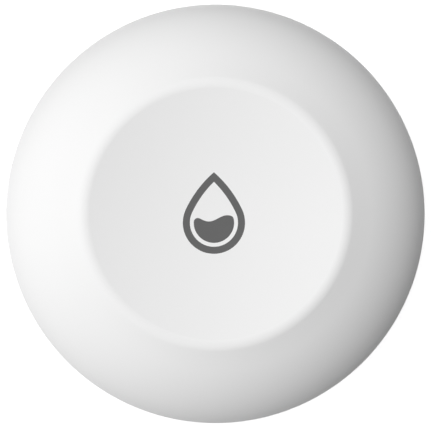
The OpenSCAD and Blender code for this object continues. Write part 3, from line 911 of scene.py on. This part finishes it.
def snap_arc(depth):
    """Half of the cap's section, from its top to its foot, at a depth under its upper face."""
    r = snap_ball - depth
    foot_angle = math.asin((snap_ball - SNAP_RISE) / r)
    return arc((0, SNAP_Z + SNAP_RISE - snap_ball), r, HALF_PI, foot_angle, SNAP_STEPS)


snap = turned("snap_disc", snap_arc(0) + backwards(snap_arc(SNAP_T)), SMALL_STEPS, closed=False)
finished(snap, pressed_nickel, "switch_dome", "housing")
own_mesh(snap)


# Base: a rounded lower edge, a spigot inside the cover, and a well for the cell

edge_end = math.asin(SEAM_ROUND / (SEAM_H - FOOT_H))
lower_edge = [(BODY_R - EDGE_IN + EDGE_IN * math.cos(t), SEAM_H - (SEAM_H - FOOT_H) * math.sin(t))
              for t in spread(HALF_PI, edge_end, EDGE_STEPS)]
base_section = (
    corner((SEAT_R + MOUTH, FOOT_H + MOUTH), MOUTH, 180)
    + lower_edge
    + corner((BODY_R - SEAM_ROUND, SEAM_H - SEAM_ROUND), SEAM_ROUND, 0)[1:]
    + [(GROOVE_OUT, SEAM_H), (GROOVE_OUT, GROOVE_Z), (GROOVE_IN, GROOVE_Z), (GROOVE_IN, SEAM_H),
       (SPIGOT_OUT, SEAM_H)]
    + corner((SPIGOT_OUT - SEAM_ROUND, SPIGOT_TOP - SEAM_ROUND), SEAM_ROUND, 0)
    + [(SPIGOT_IN, SPIGOT_TOP), (SPIGOT_IN, FLOOR_Z), (WELL_OUT, FLOOR_Z), (WELL_OUT, WELL_TOP),
       (WELL_R, WELL_TOP), (WELL_R, SEAT_Z), (SEAT_R, SEAT_Z)])
base = turned("base_pan", base_section)

# Three ledges with sloping tops carry the door's lugs, and draw the door in as it is turned shut
ramp = math.atan(DOOR_DRAW / (DOOR_TURN * (LEDGE_IN + LUG_OUT) / 2))
ramp_normal = Vector((0, -math.sin(ramp), math.cos(ramp)))
ledge = ring_sector("ledge", (LEDGE_IN, WELL_R + CUT), (LEDGE_Z, COLLAR_TOP), LEDGE_ARC)
halved(ledge, (0, 0, LUG_Z - LUG_PLAY), ramp_normal)
ledges = [copy_at(ledge, "ledge_copy", (0, 0, 0), a) for a in LUG_ANGLES]
bpy.data.objects.remove(ledge)
combine(base, joined(ledges), "UNION")


def pocket(name, r, seat, hole_r):
    """A cutter for a pocket in the underside with a flared mouth, and for the hole that goes on through."""
    section = [(0, FOOT_H - CUT), (r + MOUTH + CUT, FOOT_H - CUT), (r, FOOT_H + MOUTH), (r, seat),
               (hole_r, seat), (hole_r, FLOOR_Z + CUT), (0, FLOOR_Z + CUT)]
    return turned(name, section, SMALL_STEPS, closed=False)


def sunk_mark(name, inner, outer):
    """A cutter for a shallow round mark in the underside: a dot, or a ring where it has an inner radius."""
    low = FOOT_H - CUT
    high = FOOT_H + MARK_T
    section = [(inner, low), (outer, low), (outer, high), (inner, high)]
    return turned(name, section, SMALL_STEPS, closed=inner > 0)


screw_pocket = pocket("screw_pocket", SCREW_POCKET_R, SCREW_SEAT, SCREW_HOLE_R)
probe_pocket = pocket("probe_pocket", PROBE_POCKET_R, PROBE_SEAT, PROBE_HOLE_R)
shut_dot = sunk_mark("shut_dot", 0, MARK_W / 2)
open_ring = sunk_mark("open_ring", MARK_W / 2 - MARK_LINE, MARK_W / 2)
cutters = [copy_at(screw_pocket, "screw_cutter", on_ring(a)) for a in SCREW_ANGLES]
cutters += [copy_at(probe_pocket, "probe_cutter", on_ring(a)) for a in PROBE_ANGLES]
cutters.append(copy_at(shut_dot, "shut_cutter", on_ring(SHUT_ANGLE, MARK_R)))
cutters.append(copy_at(open_ring, "open_cutter", on_ring(OPEN_ANGLE, MARK_R)))
for model in (screw_pocket, probe_pocket, shut_dot, open_ring):
    bpy.data.objects.remove(model)
combine(base, joined(cutters), "DIFFERENCE")
finished(base, base_plastic, "base_shell", "housing")


# Battery door: a disc with a collar, three lugs, a groove for its seal, a coin slot and an arrowhead

slot_edge = SLOT_L / 2 + SLOT_CLEAR
door_section = (
    [(slot_edge, FOOT_H)]
    + corner((DOOR_R - DOOR_ROUND, FOOT_H + DOOR_ROUND), DOOR_ROUND, -90)
    + [(DOOR_R, DOOR_EDGE), (SEAL_OUT, DOOR_EDGE), (SEAL_OUT, SEAL_FLOOR), (SEAL_IN, SEAL_FLOOR),
       (SEAL_IN, DOOR_EDGE), (COLLAR_OUT, DOOR_EDGE), (COLLAR_OUT, COLLAR_TOP), (COLLAR_IN, COLLAR_TOP),
       (COLLAR_IN, DOOR_TOP), (slot_edge, DOOR_TOP)])
door = turned("door_disc", door_section, closed=False)
lug = ring_sector("lug", (COLLAR_OUT - CUT, LUG_OUT), (LEDGE_Z, COLLAR_TOP), LUG_ARC)
halved(lug, (0, 0, LUG_Z), -ramp_normal)
lugs = [copy_at(lug, "lug_copy", (0, 0, 0), a) for a in LUG_ANGLES]
bpy.data.objects.remove(lug)
combine(door, joined(lugs), "UNION")

slot_r = (SLOT_L ** 2 / 4 + SLOT_T ** 2) / (2 * SLOT_T)
bpy.ops.object.select_all(action="DESELECT")
bpy.ops.mesh.primitive_cylinder_add(
    vertices=2 * TURN_STEPS, radius=slot_r, depth=SLOT_W, location=(0, 0, FOOT_H + SLOT_T - slot_r),
    rotation=(HALF_PI, 0, 0))
combine(door, settle(bpy.context.object), "DIFFERENCE")
arrow = prism("arrow", [(ARROW_R, 0), (ARROW_R - ARROW_L, MARK_W / 2), (ARROW_R - ARROW_L, -MARK_W / 2)],
              FOOT_H - CUT, FOOT_H + MARK_T)
combine(door, copy_at(arrow, "arrow_cutter", (0, 0, 0), SHUT_ANGLE), "DIFFERENCE")
bpy.data.objects.remove(arrow)

# The slot's rim is rounded
pick(door)
bpy.ops.object.mode_set(mode="EDIT")
bpy.ops.mesh.select_all(action="DESELECT")
bpy.ops.object.mode_set(mode="OBJECT")
for vertex in door.data.vertices:
    x, y, z = vertex.co
    on_rim = abs(y) < SLOT_W / 2 + WELD and abs(x) < SLOT_L / 2 + WELD
    vertex.select = on_rim and abs(z - FOOT_H) < WELD
bpy.ops.object.mode_set(mode="EDIT")
bpy.ops.mesh.select_mode(type="VERT")
bpy.ops.mesh.bevel(offset=MOUTH, segments=RIM_STEPS, affect="EDGES")
weld()
finished(door, door_plastic, "battery_door", "door")


# Feet: soft discs over the screws, with a plug in each screw's pocket

foot_section = (
    [(0, 0)]
    + corner((FOOT_R - FOOT_ROUND, FOOT_ROUND), FOOT_ROUND, -90)
    + [(FOOT_R, FOOT_H), (FOOT_PLUG_R, FOOT_H), (FOOT_PLUG_R, FOOT_PLUG_TOP), (0, FOOT_PLUG_TOP)])
foot = turned("foot", foot_section, SMALL_STEPS, closed=False)
feet = joined([copy_at(foot, "foot_copy", on_ring(a)) for a in SCREW_ANGLES])
feet.name = "soft_feet"
bpy.data.objects.remove(foot)
finished(feet, silicone, "foot_pads", "housing")


# Probes: turned steel heads with a cross recess, on shanks that reach the board

probe_section = (
    [(0, PROBE_LOW)]
    + corner((PROBE_HEAD_R - PROBE_ROUND, PROBE_LOW + PROBE_ROUND), PROBE_ROUND, -90)
    + [(PROBE_HEAD_R, PROBE_HEAD_TOP), (PROBE_R, PROBE_HEAD_TOP), (PROBE_R, PROBE_TIP - TIP_BEVEL),
       (PROBE_R - TIP_BEVEL, PROBE_TIP), (0, PROBE_TIP)])
long = CROSS_L / 2
short = CROSS_W / 2
cross_outline = [(short, short), (short, long), (-short, long), (-short, short), (-long, short),
                 (-long, -short), (-short, -short), (-short, -long), (short, -long), (short, -short),
                 (long, -short), (long, short)]
probe = turned("probe", probe_section, SMALL_STEPS, closed=False)
combine(probe, prism("cross", cross_outline, PROBE_LOW - CUT, PROBE_LOW + CROSS_T), "DIFFERENCE")
for side, angle, steel in zip(("left", "right"), PROBE_ANGLES, (left_steel, right_steel)):
    one = copy_at(probe, "probe_" + side, on_ring(angle))
    finished(one, steel, side + "_probe", "housing")
bpy.data.objects.remove(probe)


# Floor: a pale sheet that shows the object's shadow, and that is clear from below and to the soft light

bpy.ops.object.select_all(action="DESELECT")
bpy.ops.mesh.primitive_circle_add(
    vertices=SHEET_STEPS, radius=SHEET_R * MM, fill_type="NGON", location=(0, 0, SHEET_DROP * MM))
floor = settle(bpy.context.object)
floor.name = "floor_sheet"

paper = new_material("floor_paper")
paper_seen = paper.seen()
paper_face = paper.node("AddShader", {}, {
    0: paper.node("BsdfDiffuse", {}, {"Color": grey(SHEET_BOUNCE)}),
    1: paper.node("Emission", {}, {"Color": grey(1.0), "Strength": paper_seen * SHEET_GLOW})})
paper_sides = paper.node("MixShader", {}, {
    0: paper_seen & (1 - paper.node("NewGeometry", output="Backfacing")),
    1: paper.node("BsdfTransparent"),
    2: paper_face})
paper.node("OutputMaterial", {}, {"Surface": paper_sides})
floor.data.materials.append(paper.owner)


# World: wide soft lights from the left, from above and from below, and plain white where it is seen

sky = Graph(bpy.data.worlds.new("studio"))
bpy.context.scene.world = sky.owner
way = sky.node("TexCoord", output="Generated")


def soft_light(tilt, turn, focus):
    """Light that falls off all round from one direction, to nought at right angles to it."""
    middle = (math.sin(tilt) * math.cos(turn), math.sin(tilt) * math.sin(turn), math.cos(tilt))
    facing = sky.node("VectorMath", {"operation": "DOT_PRODUCT"}, {0: way, 1: middle}, output="Value")
    return (facing | 0.0) ** focus


level = (soft_light(SIDE_TILT, SIDE_TURN, SIDE_FOCUS) * SIDE_LIGHT
         + soft_light(TOP_TILT, TOP_TURN, TOP_FOCUS) * TOP_LIGHT
         + soft_light(LOW_TILT, LOW_TURN, LOW_FOCUS) * LOW_LIGHT)
sky_seen = sky.seen()
light = sky.node("Background", {}, {"Color": grey(1.0), "Strength": sky_seen + (1 - sky_seen) * level})
sky.node("OutputWorld", {}, {"Surface": light})


# Camera: straight above the dish, far off, with the top of the picture towards +Y

lens = bpy.data.cameras.new("top_view")
lens.sensor_width = SENSOR
lens.lens = SENSOR * CAMERA_RISE / VIEW_WIDTH
lens.clip_end = CAMERA_REACH * MM
camera = bpy.data.objects.new("top_view", lens)
camera.location = (CAMERA_X * MM, CAMERA_Y * MM, (SEAM_H + CAMERA_RISE) * MM)
bpy.context.scene.collection.objects.link(camera)
bpy.context.scene.camera = camera
bpy.context.scene.view_settings.view_transform = "Standard"
